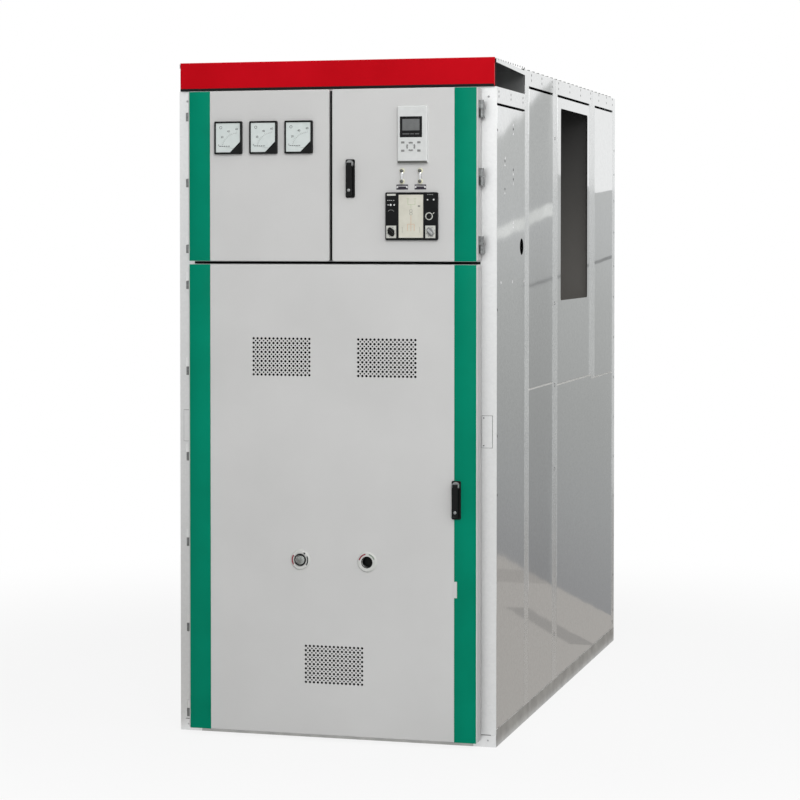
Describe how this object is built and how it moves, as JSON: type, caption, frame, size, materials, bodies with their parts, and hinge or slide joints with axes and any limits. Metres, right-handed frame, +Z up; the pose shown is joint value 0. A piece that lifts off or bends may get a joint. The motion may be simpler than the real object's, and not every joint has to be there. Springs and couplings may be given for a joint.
{
  "type": "metal-clad switchgear cabinet",
  "caption": "Tall metal-clad switchgear cabinet with a large lower door, smaller upper doors with meters and a relay, swing handles, vents, a wiring trough and busbar windows in its sides.",
  "frame": {"origin": "centre of the cabinet's rectangular footprint, on the floor", "axes": "+X to the viewer's right across the front, +Y from the doors to the rear, +Z up; the doors face -Y"},
  "size_m": [1.27, 2.6303, 2.613],
  "materials": {
    "bare_sheet": "bare aluminium-zinc coated sheet, fine grain, half gloss",
    "frame_sheet": "bare aluminium-zinc coated sheet, pale",
    "header_paint": "bright red powder coat",
    "door_paint": "pale grey powder coat",
    "strip_paint": "green powder coat",
    "hinge_metal": "zinc-plated steel",
    "black_plastic": "black moulding",
    "grey_plastic": "grey moulding",
    "white_plastic": "white moulding",
    "dark_plastic": "dark grey moulding",
    "dial_white": "printed white dial behind a clear pane",
    "screen_grey": "unlit grey screen",
    "mimic_cream": "printed cream panel",
    "plated_metal": "plated metal"
  },
  "bodies": {
    "cabinet": {"base_rails": "bare_sheet", "base_crossbeams": "bare_sheet", "floor_plate": "bare_sheet", "left_front_post": "frame_sheet", "right_front_post": "frame_sheet", "front_crossrails": "frame_sheet", "header_panel": "header_paint", "front_roof_panel": "bare_sheet", "trough_cover": "bare_sheet", "roof_panels": "bare_sheet", "left_side_panels": "bare_sheet", "right_side_panels": "bare_sheet", "left_window_panel": "bare_sheet", "right_window_panel": "bare_sheet", "left_seam_posts": "bare_sheet", "right_seam_posts": "bare_sheet", "rear_covers": "bare_sheet", "inner_walls": "bare_sheet", "post_covers": "frame_sheet", "post_hinges": "hinge_metal"},
    "left_upper_door": {"left_upper_door": "door_paint", "left_upper_door_strip": "strip_paint", "left_upper_door_hinges": "hinge_metal", "meter_cases": "black_plastic", "meter_dials": "dial_white"},
    "right_upper_door": {"right_upper_door": "door_paint", "right_upper_door_strip": "strip_paint", "right_upper_door_hinges": "hinge_metal", "relay_case": "white_plastic", "relay_screen": "screen_grey", "display_case": "dark_plastic", "display_panel": "mimic_cream", "upper_handle_base": "black_plastic"},
    "upper_handle_hub": {"upper_handle_hub": "plated_metal"},
    "upper_handle_lever": {"upper_handle_lever": "black_plastic"},
    "left_display_knob": {"left_display_knob": "black_plastic"},
    "right_display_knob": {"right_display_knob": "grey_plastic"},
    "main_door": {"main_door": "door_paint", "main_door_strips": "strip_paint", "main_door_hinges": "hinge_metal", "vent_grilles": "door_paint", "door_rosettes": "white_plastic", "main_handle_base": "black_plastic"},
    "main_handle_hub": {"main_handle_hub": "plated_metal"},
    "main_handle_lever": {"main_handle_lever": "black_plastic"}
  },
  "joints": [
    {"name": "left_upper_door_swing", "type": "hinge", "parent": "cabinet", "child": "left_upper_door", "pos_m": [-0.5855, -1.309, 2.162], "axis": [0, 0, -1], "range_deg": [0, 120]},
    {"name": "right_upper_door_swing", "type": "hinge", "parent": "cabinet", "child": "right_upper_door", "pos_m": [0.5855, -1.309, 2.162], "axis": [0, 0, 1], "range_deg": [0, 120]},
    {"name": "main_door_swing", "type": "hinge", "parent": "cabinet", "child": "main_door", "pos_m": [-0.5855, -1.309, 0.931], "axis": [0, 0, -1], "range_deg": [0, 120]},
    {"name": "upper_handle_turn", "type": "hinge", "parent": "right_upper_door", "child": "upper_handle_hub", "pos_m": [0.079, -1.34, 2.213], "axis": [0, -1, 0], "range_deg": [0, 90]},
    {"name": "upper_handle_lift", "type": "hinge", "parent": "upper_handle_hub", "child": "upper_handle_lever", "pos_m": [0.079, -1.352, 2.213], "axis": [-1, 0, 0], "range_deg": [0, 35]},
    {"name": "main_handle_turn", "type": "hinge", "parent": "main_door", "child": "main_handle_hub", "pos_m": [0.495, -1.34, 0.998], "axis": [0, 1, 0], "range_deg": [0, 90]},
    {"name": "main_handle_lift", "type": "hinge", "parent": "main_handle_hub", "child": "main_handle_lever", "pos_m": [0.495, -1.352, 0.998], "axis": [-1, 0, 0], "range_deg": [0, 35]},
    {"name": "left_display_knob_turn", "type": "hinge", "parent": "right_upper_door", "child": "left_display_knob", "pos_m": [0.243, -1.3463, 1.955], "axis": [0, 1, 0], "range_deg": [0, 90]},
    {"name": "right_display_knob_turn", "type": "hinge", "parent": "right_upper_door", "child": "right_display_knob", "pos_m": [0.396, -1.3463, 1.955], "axis": [0, 1, 0], "range_deg": [0, 90]}
  ]
}
